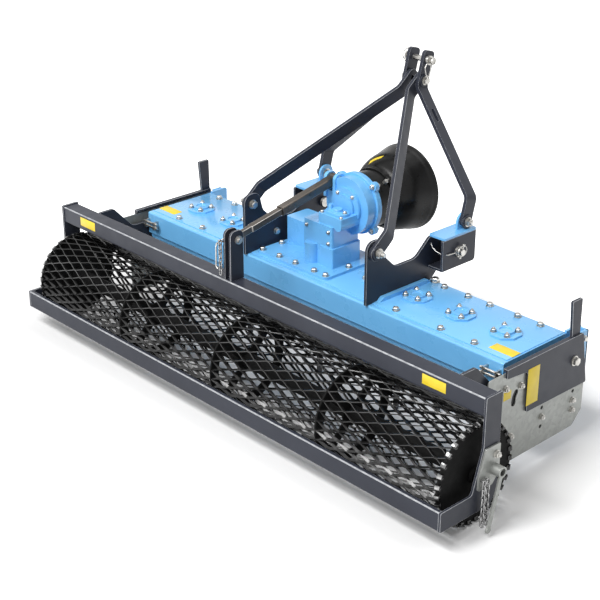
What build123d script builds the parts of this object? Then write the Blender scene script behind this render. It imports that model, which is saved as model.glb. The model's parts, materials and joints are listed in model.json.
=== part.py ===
from build123d import *

import os
from math import atan2, cos, degrees, hypot, pi, sin, sqrt

# Power harrow with a mesh roller, for a three-point hitch, in millimetres.
# X runs to the right seen from behind, Y towards the tractor and Z up from the floor.
# Y is measured from the rear face of the roller frame's top beam. On export everything moves
# back by MIDDLE_Y, so that the origin lies on the floor under the middle of the machine.

# Gear trough: a folded pan under a lid with a deep rear skirt
TROUGH_HALF = 840
TROUGH_REAR = 278
TROUGH_FRONT = 548
TROUGH_BOTTOM = 255
TROUGH_WALL = 8
KNEE_RISE = 18
KNEE_RUN = 14
KNEE_ROUND = 12
LID_REAR = 266
LID_FRONT = 565
LID_TOP = 375
LID_THICK = 8
SKIRT_THICK = 6
SKIRT_LOW = 295
WALL_FRONT = 640
WALL_TOP = 380
FOOT_WIDTH = 16
FOOT_HEIGHT = 16

# Rotors: a row of vertical shafts, geared together
ROTOR_COUNT = 9
ROTOR_PITCH = 180
ROTOR_Y = 422
ROTOR_SHAFT_R = 20
CAP_R = 52
SEAT_R = 55
SEAT_BOTTOM = 235
HUB_TOP = 229
HUB_BOTTOM = 200
HUB_R = 46
HOLDER_HALF = 84
TINE_TOP = 232
TINE_THICK = 12

# Roller and its frame
BEAM_HALF = 1000
BEAM_SIDE = 60
BEAM_TOP = 421
BEAM_WALL = 5
BEAM_ROUND = 7
LOWER_BEAM_REAR = -172
LOWER_BEAM_TOP = 136
LOWER_BEAM_BOTTOM = 73
LOWER_BEAM_LIP = 14
END_PLATE = 8
ROLLER_Y = 14
ROLLER_RADIUS = 164
ROLLER_FACETS = 28
ROLLER_DIAMONDS = 16
ROLLER_HALF = 965
ROLLER_WALL = 6
STRAND = 9
BOND = 16
SPOKED_DISCS = (-480, 0, 480)
END_DISCS = (-955, 955)
DISC_RIM = 40
DISC_HUB_R = 42
DISC_SPOKE = 30
AXLE_R = 25
AXLE_HALF = 970
AXLE_STUB_R = 15

# Arm pivot on each end of the trough, and the plates beside it
PIVOT_Y = 557
PIVOT_Z = 299
PIVOT_R = 12
ARM_X = (850, 860)
DEFLECTOR_X = (870, 874)
DEFLECTOR_BOLT_Y = (422, 575)
DEFLECTOR_BOLT_Z = 154
SIDE_PLATE_X = (874, 882)
FLANGE_IN = 866
FLANGE_TOP = 380
FLANGE_Y = (234, 594)

# Headstock and hitch
SADDLE_X = (283, 293)
CHEEK_X = (345, 353)
HITCH_TOP_Z = 530
HITCH_LOW_Z = 424
HITCH_FRONT = 708
HITCH_PIN_Y = 624
HITCH_PIN_Z = 477
HITCH_PIN_R = 11
BAR_WIDTH = 50
BAR_THICK = 12
BEND_IN = 22
LEG_FOOT_Y = 676
LEG_FOOT_Z = 562
LUG_R = 30
TOP_PIN_Y = 796
TOP_PIN_Z = 1019
TOP_PIN_R = 9.5
TOP_END = 31
STRUT_DROP = 68
STRUT_FOOT_Y = 292
STRUT_FOOT_Z = 551
BOLT_R = 8

# Gearbox and drive input
GEARBOX_BASE_X = (-270, 70)
GEARBOX_BASE_Y = (296, 556)
GEARBOX_FLOOR = 387
GEARBOX_REAR = 371
GEARBOX_STEP = 455
GEARBOX_SHOULDER = 530
GEARBOX_TOP = 566
BELL_REAR = 500
BELL_FRONT = 520
BELL_R = 106
NOSE_FRONT = 545
PTO_Z = 578
PTO_R = 17.45
PTO_END = 700
JOURNAL_R = 22
JOURNAL_FRONT = 550
COLLAR_R = 96
COLLAR_FRONT = 600
GUARD_WALL = 5

# Depth link between the top beam and the gearbox
LINK_X = -78
LINK_REAR_Y = 36
LINK_REAR_Z = 558
LINK_FRONT_Y = 478
LINK_FRONT_Z = 650
LINK_PIN_R = 10
LINK_PIN_X = (LINK_X - 34, LINK_X + 27)
LINK_EYE_R = 18
ROD_PIN_R = 9
ROD_SIDE = 22
SLEEVE_SIDE = 30

# Chains
CHAIN_PITCH = 14.6
CHAIN_LINKS = 10
UPRIGHT_CHAIN_LINKS = 8
STUD_R = 2.6

# Clearances: running fit on pins, and the sliding gap of the depth link's rod
RUNNING = 0.05
SLIDING = 0.3

LEG_LEAN = atan2(TOP_PIN_Y - LEG_FOOT_Y, TOP_PIN_Z - LEG_FOOT_Z)
LEG_LENGTH = hypot(TOP_PIN_Y - LEG_FOOT_Y, TOP_PIN_Z - LEG_FOOT_Z)
FRONT_Y = TOP_PIN_Y + TOP_END * sin(LEG_LEAN) + BAR_WIDTH / 2 * cos(LEG_LEAN)
MIDDLE_Y = (FRONT_Y + LOWER_BEAM_REAR) / 2
HALF_FACET = pi / ROLLER_FACETS
ROLLER_APOTHEM = ROLLER_RADIUS * cos(HALF_FACET)
ROLLER_Z = ROLLER_APOTHEM
LINK_LENGTH = hypot(LINK_FRONT_Y - LINK_REAR_Y, LINK_FRONT_Z - LINK_REAR_Z)
LINK_SLOPE = atan2(LINK_FRONT_Z - LINK_REAR_Z, LINK_FRONT_Y - LINK_REAR_Y)


# Basic forms

def block(x, y, z):
    """Box from its low and high limits along each axis."""
    size = Box(x[1] - x[0], y[1] - y[0], z[1] - z[0])
    return Pos((x[0] + x[1]) / 2, (y[0] + y[1]) / 2, (z[0] + z[1]) / 2) * size


def cast_block(x, y, z, radius):
    """Box with rounded upright edges, as on a casting."""
    return fillet(block(x, y, z).edges().filter_by(Axis.Z), radius)


def outline(points):
    """Flat face through (u, v) points. A third value in a point rounds that corner."""
    face = make_face(Polyline(*[p[:2] for p in points], close=True))
    for p in points:
        if len(p) == 3:
            corner = face.vertices().sort_by_distance((p[0], p[1], 0))[0]
            face = fillet(corner, p[2])
    return face


def side_plate(face, x):
    """Plate between two x values, from a flat (y, z) face."""
    return extrude(Plane.YZ.offset(x[0]) * face, amount=x[1] - x[0])


def cross_rod(x, y, z, radius):
    """Round rod along X."""
    return Pos((x[0] + x[1]) / 2, y, z) * Rot(0, 90, 0) * Cylinder(radius, x[1] - x[0])


def upright_rod(x, y, z, radius):
    """Round rod along Z."""
    return Pos(x, y, (z[0] + z[1]) / 2) * Cylinder(radius, z[1] - z[0])


def drive_rod(x, y, z, radius):
    """Round rod along Y."""
    return Pos(x, (y[0] + y[1]) / 2, z) * Rot(90, 0, 0) * Cylinder(radius, y[1] - y[0])


def turned(face):
    """Solid turned about the drive axis, from a flat (radius, y) face."""
    return Pos(0, 0, PTO_Z) * revolve(face, Axis.Y)


def pair(*solids):
    """Solids on the right and their mirror images on the left."""
    return Compound(list(solids) + [mirror(solid, Plane.YZ) for solid in solids])


def ribbon(route, thickness):
    """Face of a bent flat bar seen on its edge, from the middle line's points."""
    left = []
    right = []
    for n, (u, v) in enumerate(route):
        before = route[max(n - 1, 0)]
        after = route[min(n + 1, len(route) - 1)]
        angle_in = atan2(v - before[1], u - before[0])
        angle_out = atan2(after[1] - v, after[0] - u)
        angle_in = angle_out if n == 0 else angle_in
        angle_out = angle_in if n == len(route) - 1 else angle_out
        middle = (angle_in + angle_out) / 2
        turn = angle_out - angle_in
        reach = thickness / 2 / cos(turn / 2)
        left_end = (u - reach * sin(middle), v + reach * cos(middle))
        right_end = (u + reach * sin(middle), v - reach * cos(middle))
        if abs(turn) > 0:
            bend_out = BEND_IN + thickness
            left_end += (BEND_IN if turn > 0 else bend_out,)
            right_end += (bend_out if turn > 0 else BEND_IN,)
        left.append(left_end)
        right.append(right_end)
    return outline(left + right[::-1])


def leaning_bar(route, foot_y, foot_z, lean, holes, foot_round, top_round):
    """Bent flat bar with rounded ends, whose middle line is (x, distance up the lean)."""
    plane = Plane(origin=(0, foot_y, foot_z), x_dir=(1, 0, 0), z_dir=(0, -cos(lean), sin(lean)))
    bar = extrude(plane * ribbon(route, BAR_THICK), amount=BAR_WIDTH / 2, both=True)
    bar = fillet(bar.edges().filter_by(Axis.X).sort_by(Axis.Z)[:2], foot_round)
    bar = fillet(bar.edges().filter_by(Axis.X).sort_by(Axis.Z)[-2:], top_round)
    for up, radius in holes:
        bar -= cross_rod((0, 400), foot_y + up * sin(lean), foot_z + up * cos(lean), radius)
    return bar


# Gear trough, lid and bearings

def trough_pan():
    """Folded pan with a front rim. Its end walls reach forward past the lid."""
    rim = LID_TOP - LID_THICK
    knee = TROUGH_BOTTOM + KNEE_RISE
    w = TROUGH_WALL
    rear, front, low = TROUGH_REAR, TROUGH_FRONT, TROUGH_BOTTOM
    bend = KNEE_ROUND
    outer = outline([(rear, rim), (rear, knee, bend), (rear + KNEE_RUN, low, bend),
                     (front - KNEE_RUN, low, bend), (front, knee, bend), (front, rim - w),
                     (LID_FRONT, rim - w), (LID_FRONT, rim)])
    inner = outline([(rear + w, rim), (rear + w, knee + 2), (rear + KNEE_RUN + 4, low + w),
                     (front - KNEE_RUN - 4, low + w), (front - w, knee + 2), (front - w, rim)])
    pan = side_plate(outer, (-TROUGH_HALF, TROUGH_HALF))
    pan -= side_plate(inner, (-TROUGH_HALF + w, TROUGH_HALF - w))
    wing = outline([(front - 60, low), (WALL_FRONT - KNEE_RUN, low), (WALL_FRONT, knee, 20),
                    (WALL_FRONT, WALL_TOP, 8), (LID_FRONT + 1, WALL_TOP), (LID_FRONT + 1, rim),
                    (front - 60, rim)])
    for x in ((-TROUGH_HALF, -TROUGH_HALF + w), (TROUGH_HALF - w, TROUGH_HALF)):
        pan += side_plate(wing, x)
    return pan


def trough_lid():
    """Lid with a rear skirt, and a long foot beside each saddle plate."""
    low = LID_TOP - LID_THICK
    inside = LID_REAR + SKIRT_THICK
    profile = outline([(LID_REAR, LID_TOP, 7), (LID_FRONT, LID_TOP), (LID_FRONT, low), (inside, low),
                       (inside, SKIRT_LOW), (LID_REAR, SKIRT_LOW)])
    lid = side_plate(profile, (-TROUGH_HALF, TROUGH_HALF))
    top = LID_TOP + FOOT_HEIGHT
    foot = outline([(300, LID_TOP), (322, top, 12), (530, top, 12), (552, LID_TOP)])
    for x in (SADDLE_X[1], -SADDLE_X[1] - FOOT_WIDTH):
        lid += side_plate(foot, (x, x + FOOT_WIDTH))
    return lid


def rotor_places():
    middle = (ROTOR_COUNT - 1) / 2
    return [(n - middle) * ROTOR_PITCH for n in range(ROTOR_COUNT)]


def bearing_caps():
    """Eight-sided caps with a dished boss, over the rotor shafts that the gearbox leaves open."""
    flange = extrude(RegularPolygon(CAP_R, 8, rotation=22.5), amount=9)
    boss = Pos(0, 0, 13) * Cylinder(28, 8)
    dish = Pos(0, 0, 15) * Cylinder(19, 4)
    cap = flange + boss - dish
    clear = [x for x in rotor_places() if x > GEARBOX_BASE_X[1] or x < GEARBOX_BASE_X[0]]
    return Compound([Pos(x, ROTOR_Y, LID_TOP) * cap for x in clear])


def bearing_seats():
    seat = upright_rod(0, ROTOR_Y, (SEAT_BOTTOM, TROUGH_BOTTOM), SEAT_R)
    seat -= upright_rod(0, ROTOR_Y, (SEAT_BOTTOM, TROUGH_BOTTOM), ROTOR_SHAFT_R + RUNNING)
    return Compound([Pos(x, 0, 0) * seat for x in rotor_places()])


def tine():
    """Knife tine on the +X end of the holder, narrowing and trailing towards its tip."""
    blade = outline([(-17, TINE_TOP), (17, TINE_TOP), (15, 150, 60), (2, 0), (-12, 0), (-15, 120, 60)])
    return side_plate(blade, (HOLDER_HALF - TINE_THICK, HOLDER_HALF))


def rotor(x, turn):
    """Shaft, hub and tine holder with a tine bolted to each end."""
    shaft = upright_rod(0, 0, (HUB_TOP, TROUGH_BOTTOM - 2), ROTOR_SHAFT_R)
    hub = upright_rod(0, 0, (HUB_BOTTOM, HUB_TOP), HUB_R)
    holder_x = HOLDER_HALF - TINE_THICK
    holder = block((-holder_x, holder_x), (-19, 19), (HUB_BOTTOM, HUB_TOP - 5))
    right = tine()
    left = Rot(0, 0, 180) * right
    return Pos(x, ROTOR_Y, 0) * Rot(0, 0, turn) * (shaft + hub + holder + right + left)


# Gearbox and drive input

def gearbox_housing():
    """Stepped casting with a side chamber, a rib along its shoulder and two cheeks for the depth link."""
    middle_x = sum(GEARBOX_BASE_X) / 2
    middle_y = sum(GEARBOX_BASE_Y) / 2
    size_x = GEARBOX_BASE_X[1] - GEARBOX_BASE_X[0]
    size_y = GEARBOX_BASE_Y[1] - GEARBOX_BASE_Y[0]
    floor = GEARBOX_FLOOR
    base = extrude(RectangleRounded(size_x, size_y, 18), amount=floor - LID_TOP)
    base = Pos(middle_x, middle_y, LID_TOP) * base
    main = cast_block((-115, 22), (GEARBOX_REAR, BELL_REAR), (floor, GEARBOX_SHOULDER), 9)
    step = cast_block((-32, 31), (GEARBOX_REAR - 6, BELL_REAR), (floor, GEARBOX_STEP), 7)
    hump = upright_rod(-72, GEARBOX_REAR + 2, (floor, GEARBOX_STEP), 26)
    chamber = cast_block((-262, -132), (428, 530), (floor, 480), 9)
    neck = block((-140, -108), (446, BELL_REAR), (floor, 468))
    upper = cast_block((-50, 58), (GEARBOX_REAR + 5, BELL_REAR), (GEARBOX_SHOULDER, GEARBOX_TOP), 6)
    barrel = turned(outline([(0, 462), (98, 462), (98, BELL_REAR), (0, BELL_REAR)]))
    rib = drive_rod(42, (GEARBOX_REAR + 5, BELL_REAR), GEARBOX_SHOULDER + 10, 18)
    housing = base + main + step + hump + chamber + neck + upper + barrel + rib
    cheek = outline([(455, 590), (BELL_REAR, 590), (BELL_REAR, 672, 16), (456, 672, 18)])
    for x in (LINK_X - 21, LINK_X + 21):
        housing += side_plate(cheek, (x - 6, x + 6))
    housing -= block((LINK_X - 15, LINK_X + 15), (430, BELL_REAR), (612, 690))
    return housing - cross_rod(LINK_PIN_X, LINK_FRONT_Y, LINK_FRONT_Z, LINK_PIN_R + RUNNING)


def gearbox_bell():
    """Round front flange with four bolt lugs and a nose that carries the shaft."""
    bell = turned(outline([(0, BELL_REAR), (BELL_R, BELL_REAR), (BELL_R, BELL_FRONT), (60, BELL_FRONT),
                           (52, NOSE_FRONT), (0, NOSE_FRONT)]))
    reach = BELL_R / sqrt(2)
    for x in (-reach, reach):
        for z in (PTO_Z - reach, PTO_Z + reach):
            bell += drive_rod(x, (BELL_REAR, BELL_FRONT), z, 17)
    return bell - drive_rod(0, (BELL_REAR + 3, NOSE_FRONT), PTO_Z, JOURNAL_R + RUNNING)


def gearbox_cover():
    """Oval inspection cover with a breather."""
    plate = Pos(4, 414, GEARBOX_TOP) * extrude(SlotOverall(92, 50), amount=9)
    boss = upright_rod(4, 414, (GEARBOX_TOP + 9, GEARBOX_TOP + 18), 17)
    breather = upright_rod(-28, 414, (GEARBOX_TOP + 9, GEARBOX_TOP + 26), 8)
    return plate + boss + breather


def pto_shaft():
    tip = PTO_END - 4
    return turned(outline([(0, BELL_REAR + 5), (JOURNAL_R, BELL_REAR + 5), (JOURNAL_R, JOURNAL_FRONT),
                           (PTO_R, JOURNAL_FRONT), (PTO_R, tip), (PTO_R - 4, PTO_END), (0, PTO_END)]))


def guard_collar():
    inside = COLLAR_R - 8
    rear, front = BELL_FRONT, COLLAR_FRONT
    return turned(outline([(inside, rear), (COLLAR_R, rear), (COLLAR_R, front), (inside, front)]))


def guard_cone():
    """Bell-shaped shield that swells from the collar to a flared rim."""
    neck = COLLAR_R + GUARD_WALL
    outer = [(neck, COLLAR_FRONT - 14), (neck, COLLAR_FRONT + 4), (112, 614), (123, 632), (132, 656),
             (138, 686), (147, 722), (149, 748)]
    inner = [(radius - GUARD_WALL, y) for radius, y in outer]
    return turned(outline(outer + inner[::-1]))


# Headstock and lower hitch

def saddle_plate():
    """Plate on the lid with the strut's lug behind, a dip in the middle and the hitch in front."""
    front, low, top = HITCH_FRONT, HITCH_LOW_Z, HITCH_TOP_Z
    face = outline([(257, LID_TOP), (257, 588, 31), (322, 588, 30), (340, 520, 40), (388, 474, 40),
                    (484, 474, 50), (548, top, 20), (front, top), (front, low, 20), (612, low, 20),
                    (560, LID_TOP)])
    plate = side_plate(face, SADDLE_X)
    plate -= cross_rod((270, 300), STRUT_FOOT_Y, STRUT_FOOT_Z, BOLT_R)
    return plate - cross_rod((270, 300), HITCH_PIN_Y, HITCH_PIN_Z, HITCH_PIN_R + RUNNING)


def hitch_cheek():
    """Outer cheek of the hitch box, with the box's floor."""
    front, low, top = HITCH_FRONT, HITCH_LOW_Z, HITCH_TOP_Z
    cheek = side_plate(outline([(546, top), (front, top), (front, low, 12), (546, low)]), CHEEK_X)
    cheek += block((SADDLE_X[1], CHEEK_X[0]), (546, front - 12), (low, low + 8))
    return cheek - cross_rod((340, 360), HITCH_PIN_Y, HITCH_PIN_Z, HITCH_PIN_R + RUNNING)


def hitch_top():
    """Plate over the hitch box, with a round-topped lug for the front leg."""
    top = HITCH_TOP_Z + 8
    plate = block((SADDLE_X[0], CHEEK_X[1]), (552, HITCH_FRONT + 4), (HITCH_TOP_Z, top))
    plate = fillet(plate.edges().filter_by(Axis.Z), 8)
    low, high = LEG_FOOT_Y - LUG_R - 2, LEG_FOOT_Y + LUG_R + 2
    crown = LEG_FOOT_Z + LUG_R
    face = outline([(low, top), (high, top), (high, crown, LUG_R), (low, crown, LUG_R)])
    return plate + side_plate(face, (318, 326)) - cross_rod((310, 330), LEG_FOOT_Y, LEG_FOOT_Z, BOLT_R)


def hitch_pin():
    return cross_rod((274, 374), HITCH_PIN_Y, HITCH_PIN_Z, HITCH_PIN_R)


def front_leg():
    """Bar from the hitch lug to the top, where it forms one side of the clevis, with a slot below."""
    route = [(332, -15), (332, 80), (32, 380), (32, LEG_LENGTH + TOP_END)]
    holes = [(0, BOLT_R), (LEG_LENGTH - STRUT_DROP, BOLT_R), (LEG_LENGTH, TOP_PIN_R + RUNNING)]
    bar = leaning_bar(route, LEG_FOOT_Y, LEG_FOOT_Z, LEG_LEAN, holes, 14, 14)
    slot_up = 300
    slot_x = route[2][0] + route[2][1] - slot_up
    rise = (sin(LEG_LEAN) / sqrt(2), cos(LEG_LEAN) / sqrt(2))
    middle = (slot_x, LEG_FOOT_Y + slot_up * sin(LEG_LEAN), LEG_FOOT_Z + slot_up * cos(LEG_LEAN))
    slot_plane = Plane(origin=middle, x_dir=(-1 / sqrt(2), *rise), z_dir=(1 / sqrt(2), *rise))
    return bar - extrude(slot_plane * SlotOverall(50, 16), amount=BAR_THICK, both=True)


def rear_strut():
    """Bar from the saddle plate's lug to the inside of the clevis."""
    up = LEG_LENGTH - STRUT_DROP
    dy = LEG_FOOT_Y + up * sin(LEG_LEAN) - STRUT_FOOT_Y
    dz = LEG_FOOT_Z + up * cos(LEG_LEAN) - STRUT_FOOT_Z
    length = hypot(dy, dz)
    route = [(299, -28), (299, 70), (20, length - 60), (20, length + 27)]
    holes = [(0, BOLT_R), (length, BOLT_R)]
    return leaning_bar(route, STRUT_FOOT_Y, STRUT_FOOT_Z, atan2(dy, dz), holes, 24, 20)


def top_pin():
    return cross_rod((-62, 62), TOP_PIN_Y, TOP_PIN_Z, TOP_PIN_R)


# Trough ends: side plates, deflectors, pivots

def end_side_plate():
    """Dark plate outside the deflector, with a flange turned in along its top."""
    top = FLANGE_TOP
    rear, front = FLANGE_Y
    face = outline([(336, 205, 6), (330, 342, 14), (rear, 350, 6), (rear, top), (front, top, 8),
                    (628, 202, 6)])
    plate = side_plate(face, SIDE_PLATE_X)
    flange = block((FLANGE_IN, SIDE_PLATE_X[1]), (rear, front - 8), (top - 8, top))
    return plate + flange - cross_rod((860, 890), PIVOT_Y, PIVOT_Z, PIVOT_R + RUNNING)


def corner_upright():
    """Short bar on the flange's front end, leaning back a little."""
    face = outline([(544, FLANGE_TOP), (584, FLANGE_TOP), (582, 498, 5), (534, 498, 5)])
    return side_plate(face, (FLANGE_IN, FLANGE_IN + 10))


def deflector():
    """Galvanised plate beside the tines, with two columns of height holes and a kidney slot."""
    face = outline([(200, 57, 25), (585, 60, 12), (628, 104, 12), (628, 200), (584, 366), (160, 366, 12),
                    (160, 300, 12), (200, 240, 20)])
    plate = side_plate(face, DEFLECTOR_X)
    plate -= cross_rod((860, 890), PIVOT_Y, PIVOT_Z, PIVOT_R + RUNNING)
    for y in DEFLECTOR_BOLT_Y:
        for z in (DEFLECTOR_BOLT_Z - 33, DEFLECTOR_BOLT_Z + 31):
            plate -= cross_rod((860, 880), y, z, 6)
    kidney = SlotArc(CenterArc((320, 260), 40, 140, 50), 20)
    return plate - side_plate(kidney, (860, 880))


def deflector_brackets():
    """Straps on the trough's end wall, each with a bush that the deflector bolts to."""
    straps = []
    for y in DEFLECTOR_BOLT_Y:
        strap = side_plate(outline([(y - 18, 130, 14), (y + 18, 130, 14), (y + 18, 280), (y - 18, 280)]),
                           (TROUGH_HALF, TROUGH_HALF + 5))
        straps.append(strap + cross_rod((TROUGH_HALF + 5, DEFLECTOR_X[0]), y, DEFLECTOR_BOLT_Z, 14))
    return pair(*straps)


def pivot_bolt():
    shank = cross_rod((TROUGH_HALF, SIDE_PLATE_X[1]), PIVOT_Y, PIVOT_Z, PIVOT_R)
    return shank + cross_rod((SIDE_PLATE_X[1], SIDE_PLATE_X[1] + 12), PIVOT_Y, PIVOT_Z, 19)


def stop_pin():
    """Two rods one above the other, held in lugs on the lid's skirt."""
    y = LID_REAR - 16
    lugs = [block((x, x + 6), (y - 8, LID_REAR), (323, 353)) for x in (780, 828)]
    rods = [cross_rod((768, 845), y, z, 4.5) for z in (331, 345)]
    return lugs[0].fuse(lugs[1], *rods)


# Roller frame

def top_beam():
    low = BEAM_TOP - BEAM_SIDE
    x = (-BEAM_HALF + END_PLATE, BEAM_HALF - END_PLATE)
    w = BEAM_WALL
    tube = fillet(block(x, (0, BEAM_SIDE), (low, BEAM_TOP)).edges().filter_by(Axis.X), BEAM_ROUND)
    return tube - block(x, (w, BEAM_SIDE - w), (low + w, BEAM_TOP - w))


def lower_beam():
    """Channel with its open side towards the roller."""
    rear = LOWER_BEAM_REAR
    low, top, lip, w = LOWER_BEAM_BOTTOM, LOWER_BEAM_TOP, LOWER_BEAM_LIP, BEAM_WALL
    profile = outline([(rear, low, BEAM_ROUND), (rear, top, BEAM_ROUND), (rear + lip, top),
                       (rear + lip, top - w), (rear + w, top - w), (rear + w, low + w),
                       (rear + lip, low + w), (rear + lip, low)])
    return side_plate(profile, (-BEAM_HALF + END_PLATE, BEAM_HALF - END_PLATE))


def end_plate():
    """Plate that closes the top beam, carries the roller's axle and reaches back to the lower beam."""
    face = outline([(-4, BEAM_TOP + 4, 5), (64, BEAM_TOP + 4, 5), (64, 110, 20), (36, LOWER_BEAM_BOTTOM),
                    (LOWER_BEAM_REAR, LOWER_BEAM_BOTTOM, 5), (LOWER_BEAM_REAR, LOWER_BEAM_TOP, 5),
                    (-44, LOWER_BEAM_TOP, 12), (-4, 270, 30)])
    plate = side_plate(face, (BEAM_HALF - END_PLATE, BEAM_HALF))
    return plate - cross_rod((980, 1010), ROLLER_Y, ROLLER_Z, AXLE_STUB_R + RUNNING)


def roller_arm():
    """Flat arm from the pivot bolt to the front of the top beam."""
    low = BEAM_TOP - BEAM_SIDE
    face = outline([(PIVOT_Y, PIVOT_Z + 32), (200, 335, 40), (120, BEAM_TOP, 20), (BEAM_SIDE, BEAM_TOP),
                    (BEAM_SIDE, low), (150, 275, 40), (PIVOT_Y, PIVOT_Z - 32)])
    arm = side_plate(face, ARM_X) + cross_rod(ARM_X, PIVOT_Y, PIVOT_Z, 32)
    return arm - cross_rod((840, 870), PIVOT_Y, PIVOT_Z, PIVOT_R + RUNNING)


def depth_upright():
    """Two cheeks on the top beam, with open holes for the depth link's rear pin."""
    face = outline([(2, BEAM_TOP), (58, BEAM_TOP), (58, 590, 20), (4, 590, 20)])
    cheeks = []
    for x in (LINK_X - 18, LINK_X + 10):
        cheek = side_plate(face, (x, x + 8))
        cheeks.append(cheek - cross_rod((x - 1, x + 9), LINK_REAR_Y, LINK_REAR_Z, ROD_PIN_R + 4))
    return Compound(cheeks)


def end_bracket():
    """Galvanised plate with a bush and a hanging strap on the outside of the end plate."""
    x = BEAM_HALF
    face = outline([(0, 268, 6), (62, 268, 6), (62, 176), (34, 144, 10), (-26, 144, 6), (-26, 190)])
    plate = side_plate(face, (x, x + 6))
    bush = cross_rod((x + 6, x + 38), 38, 194, 17)
    strap_line = ribbon([(38, 194), (-6, 24)], 14)
    strap = side_plate(strap_line, (x + 30, x + 36)) + cross_rod((x + 30, x + 36), -6, 24, 10)
    return plate + bush + strap - cross_rod((x, x + 40), 38, 194, 11)


# Keeper chains

def chain_link():
    outer = outline([(-3.5, 12), (3.5, 12), (7.5, 7), (7.5, -7), (3.5, -12), (-3.5, -12), (-7.5, -7),
                     (-7.5, 7)])
    inner = outline([(0, 7.5), (3, 5), (3, -5), (0, -7.5), (-3, -5), (-3, 5)])
    return Rot(90, 0, 0) * extrude(outer - inner, amount=2.25, both=True)


def chain(x, y, top, stud_x, count):
    """Hanging chain, every other link turned a quarter, with the stud that its first link hangs on."""
    link = chain_link()
    stud = cross_rod(stud_x, y, top + 5.5, STUD_R)
    links = []
    for n in range(count):
        links.append(Pos(x, y, top - n * CHAIN_PITCH) * Rot(0, 0, 90 * ((n + 1) % 2)) * link)
    return stud.fuse(*links)


def keeper_chains():
    """Chains beside the end brackets' straps and behind the depth upright."""
    cheek = LINK_X - 18
    chains = [chain(cheek - 14, 20, 548, (cheek - 22, cheek), UPRIGHT_CHAIN_LINKS)]
    plate = BEAM_HALF + 6
    for y in (0, -17):
        one = chain(plate + 12, y, 172, (plate, plate + 20), CHAIN_LINKS)
        chains += [one, mirror(one, Plane.YZ)]
    return Compound(chains)


# Mesh roller

def mesh_drum():
    """Expanded-metal drum: one zigzag strip on each facet, bonded to its neighbours at the peaks."""
    edge = ROLLER_RADIUS * sin(HALF_FACET)
    pitch = 2 * ROLLER_HALF / ROLLER_DIAMONDS
    upper = []
    lower = []
    for n in range(ROLLER_DIAMONDS):
        start = -ROLLER_HALF + n * pitch
        peak = start + pitch / 2
        upper += [(start, STRAND - edge), (peak - BOND / 2, edge), (peak + BOND / 2, edge)]
        lower += [(start + BOND / 2, -edge), (peak, edge - STRAND), (start + pitch - BOND / 2, -edge)]
    upper.append((ROLLER_HALF, STRAND - edge))
    face = outline([(-ROLLER_HALF, -edge)] + lower + [(ROLLER_HALF, -edge)] + upper[::-1])
    strip = Pos(0, 0, ROLLER_APOTHEM) * extrude(face, amount=-ROLLER_WALL)
    strips = []
    for n in range(ROLLER_FACETS):
        one = strip if n % 2 == 0 else mirror(strip, Plane.XZ)
        strips.append(Rot(360 / ROLLER_FACETS * n, 0, 0) * one)
    return Pos(0, ROLLER_Y, ROLLER_Z) * strips[0].fuse(*strips[1:])


def roller_discs():
    """Plates inside the drum: solid at its ends, and with a rim, a hub and four spokes between."""
    inner_radius = (ROLLER_APOTHEM - ROLLER_WALL) / cos(HALF_FACET)
    solid = RegularPolygon(inner_radius, ROLLER_FACETS, rotation=degrees(HALF_FACET)) - Circle(AXLE_R)
    windows = Circle(ROLLER_APOTHEM - DISC_RIM) - Circle(DISC_HUB_R)
    for turn in (45, 135):
        windows -= Rot(0, 0, turn) * Rectangle(2 * ROLLER_RADIUS, DISC_SPOKE)
    spoked = solid - windows
    discs = []
    for x in END_DISCS + SPOKED_DISCS:
        face = solid if x in END_DISCS else spoked
        disc = extrude(Plane.YZ.offset(x) * face, amount=3, both=True)
        discs.append(Pos(0, ROLLER_Y, ROLLER_Z) * disc)
    return Compound(discs)


def roller_axle():
    tube = cross_rod((-AXLE_HALF, AXLE_HALF), ROLLER_Y, ROLLER_Z, AXLE_R)
    stub_end = BEAM_HALF - 2
    return tube + cross_rod((-stub_end, stub_end), ROLLER_Y, ROLLER_Z, AXLE_STUB_R)


# Depth link

def on_link(solid):
    """From the layout, where the link runs along -Y from the front pin, to its place."""
    return Pos(LINK_X, LINK_FRONT_Y, LINK_FRONT_Z) * Rot(degrees(LINK_SLOPE), 0, 0) * solid


def link_sleeve():
    half = SLEEVE_SIDE / 2
    bore = ROD_SIDE / 2 + SLIDING
    tube = fillet(block((-half, half), (-250, -40), (-half, half)).edges().filter_by(Axis.Y), 5)
    tube -= block((-bore, bore), (-250, -46), (-bore, bore))
    eye = cross_rod((-13, 13), 0, 0, LINK_EYE_R) + block((-13, 13), (-42, 0), (-15, 15))
    return on_link(tube + eye - cross_rod((-20, 20), 0, 0, LINK_PIN_R + RUNNING))


def link_rod():
    half = ROD_SIDE / 2
    bar = block((-half, half), (-LINK_LENGTH + 70, -120), (-half, half))
    neck = block((-8, 8), (-LINK_LENGTH, -LINK_LENGTH + 72), (-half, half))
    pin = cross_rod((-26, 26), -LINK_LENGTH, 0, ROD_PIN_R)
    return on_link(bar + neck + cross_rod((-8, 8), -LINK_LENGTH, 0, 18) + pin)


def link_pin():
    return cross_rod(LINK_PIN_X, LINK_FRONT_Y, LINK_FRONT_Z, LINK_PIN_R)


# All nodes, by name

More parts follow.
